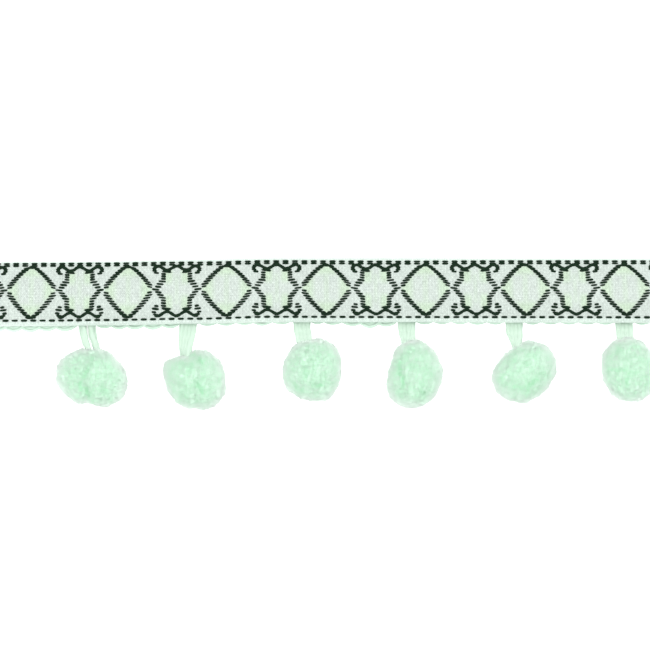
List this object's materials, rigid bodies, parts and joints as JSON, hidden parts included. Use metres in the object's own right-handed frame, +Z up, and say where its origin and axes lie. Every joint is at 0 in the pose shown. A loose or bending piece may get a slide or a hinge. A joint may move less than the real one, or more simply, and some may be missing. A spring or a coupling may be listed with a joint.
{
  "type": "pompom fringe trim",
  "caption": "Flat cut length of patterned woven ribbon with a scalloped heading behind its lower edge and round pompoms hanging from short yarn loops.",
  "frame": {"origin": "on the surface that the trim lies on, under the middle of the whole trim, pompoms included", "axes": "+X along the ribbon, +Y across it, away from the pompoms, +Z up, out of the ribbon's patterned face"},
  "size_m": [0.1926, 0.0423, 0.0158],
  "materials": {
    "woven_ribbon": "matt jacquard weave, off-white ground with pale lime and near-black green figure",
    "heading_yarn": "matt mint braided yarn",
    "loop_yarn": "soft matt mint twisted yarn",
    "pompom_pile": "dense soft mint cut pile"
  },
  "bodies": {
    "root": {"ribbon": "woven_ribbon", "heading": "heading_yarn", "loop_1": "loop_yarn", "loop_2": "loop_yarn", "loop_3": "loop_yarn", "loop_4": "loop_yarn", "loop_5": "loop_yarn", "loop_6": "loop_yarn", "pompom_1": "pompom_pile", "pompom_2": "pompom_pile", "pompom_3": "pompom_pile", "pompom_4": "pompom_pile", "pompom_5": "pompom_pile", "pompom_6": "pompom_pile"}
  },
  "joints": []
}
